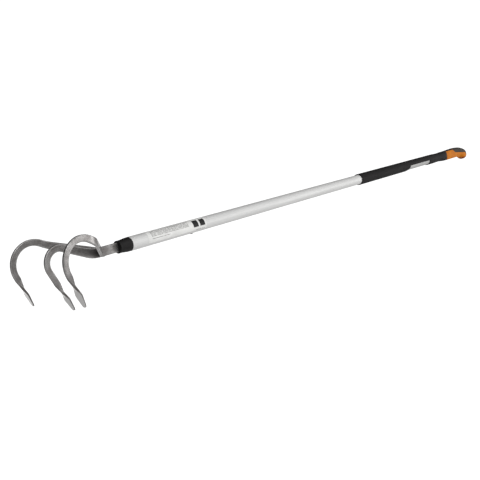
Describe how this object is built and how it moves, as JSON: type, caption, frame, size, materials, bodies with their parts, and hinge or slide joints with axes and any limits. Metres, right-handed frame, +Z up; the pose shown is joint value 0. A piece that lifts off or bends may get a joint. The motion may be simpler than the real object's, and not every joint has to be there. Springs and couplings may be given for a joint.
{
  "type": "long handled cultivator claw",
  "caption": "Long handled garden cultivator with hooked flat-bar tines that end in leaf-shaped points, a straight light tube, a long dark grip sleeve and a hooked handle end.",
  "frame": {"origin": "on the shaft's axis at the front mouth of the tube, where it meets the collar", "axes": "+X along the shaft towards the hand, +Z up with the tines hooking down, +Y to the right seen from the hand"},
  "size_m": [1.6653, 0.1419, 0.1136],
  "materials": {
    "tine_steel": "satin, with shallow forging and grinding marks",
    "weld_metal": "satin, uneven",
    "dark_steel": "satin",
    "tube_metal": "satin",
    "label_film": "satin film with plain grey bars and black blocks",
    "black_plastic": "matte",
    "soft_grip": "matte, fine grain",
    "soft_inlay": "matte, fine grain",
    "orange_plastic": "satin"
  },
  "bodies": {
    "root": {"tine_left": "tine_steel", "tine_middle": "tine_steel", "tine_right": "tine_steel", "weld_beads": "weld_metal", "nose_collar": "black_plastic", "lock_rivet": "dark_steel", "shaft_tube": "tube_metal", "label_film": "label_film", "grip_sleeve": "soft_grip", "end_cap": "orange_plastic", "end_cap_inlay": "soft_inlay", "rear_plug": "black_plastic", "cap_screw": "dark_steel"}
  },
  "joints": []
}
